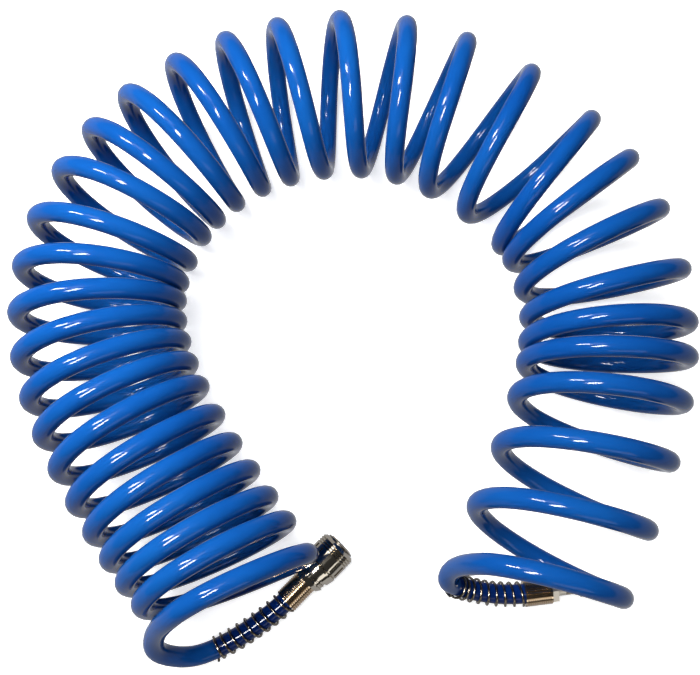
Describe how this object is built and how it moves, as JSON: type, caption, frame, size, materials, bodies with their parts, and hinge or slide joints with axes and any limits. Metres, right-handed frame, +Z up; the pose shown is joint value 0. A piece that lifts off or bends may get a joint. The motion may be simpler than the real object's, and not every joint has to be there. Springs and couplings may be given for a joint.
{
  "type": "coiled air hose",
  "caption": "Coiled blue air hose laid in a C on the floor, with a push-to-connect coupler on one end and a matching plug on the other.",
  "frame": {"origin": "on the floor at the middle of the arrangement's bounding box", "axes": "+Z up; the open side of the C and both fittings face -Y; the coupler is at -X, the plug at +X"},
  "size_m": [0.4103, 0.4037, 0.1041],
  "materials": {
    "hose": "gloss",
    "brass": "polished",
    "plated_steel": "polished",
    "steel_wire": "satin",
    "ball_steel": "polished",
    "copper_washer": "satin",
    "seal_rubber": "matte"
  },
  "bodies": {
    "hose_and_fittings": {"hose_coil": "hose", "hose_tail_coupler": "hose", "hose_tail_plug": "hose", "coupler_spring_guard": "steel_wire", "plug_spring_guard": "steel_wire", "coupler_hose_nut": "brass", "plug_hose_nut": "brass", "coupler_barb_stem": "brass", "stem_washer": "copper_washer", "coupler_body": "brass", "sleeve_spring": "steel_wire", "sleeve_snap_ring": "steel_wire", "valve_spring": "steel_wire", "valve_guide": "brass", "socket_seal_ring": "seal_rubber", "plug_body": "plated_steel"},
    "sleeve": {"coupler_sleeve": "brass"},
    "ball_1": {"locking_ball_1": "ball_steel"},
    "ball_2": {"locking_ball_2": "ball_steel"},
    "ball_3": {"locking_ball_3": "ball_steel"},
    "ball_4": {"locking_ball_4": "ball_steel"},
    "valve": {"valve_poppet": "brass", "valve_seal": "seal_rubber"}
  },
  "joints": [
    {"name": "sleeve_pull", "type": "slide", "parent": "hose_and_fittings", "child": "sleeve", "axis": [-0.7071, -0.7071, 0], "range_m": [0, 0.0035], "stiffness_N_per_m": 120, "springref_m": -0.006, "deforming": ["sleeve_spring"]},
    {"name": "ball_1_shift", "type": "slide", "parent": "hose_and_fittings", "child": "ball_1", "axis": [0, 0, 1], "range_m": [0, 0.0011]},
    {"name": "ball_2_shift", "type": "slide", "parent": "hose_and_fittings", "child": "ball_2", "axis": [-0.7071, 0.7071, 0], "range_m": [0, 0.0011]},
    {"name": "ball_3_shift", "type": "slide", "parent": "hose_and_fittings", "child": "ball_3", "axis": [0, 0, -1], "range_m": [0, 0.0011]},
    {"name": "ball_4_shift", "type": "slide", "parent": "hose_and_fittings", "child": "ball_4", "axis": [0.7071, -0.7071, 0], "range_m": [0, 0.0011]},
    {"name": "valve_push", "type": "slide", "parent": "hose_and_fittings", "child": "valve", "axis": [-0.7071, -0.7071, 0], "range_m": [0, 0.0032], "stiffness_N_per_m": 60, "springref_m": -0.006, "deforming": ["valve_spring"]}
  ],
  "couplings": [
    {"joint": "ball_1_shift", "follows": "sleeve_pull", "ratio": 0.31429},
    {"joint": "ball_2_shift", "follows": "sleeve_pull", "ratio": 0.31429},
    {"joint": "ball_3_shift", "follows": "sleeve_pull", "ratio": 0.31429},
    {"joint": "ball_4_shift", "follows": "sleeve_pull", "ratio": 0.31429}
  ]
}
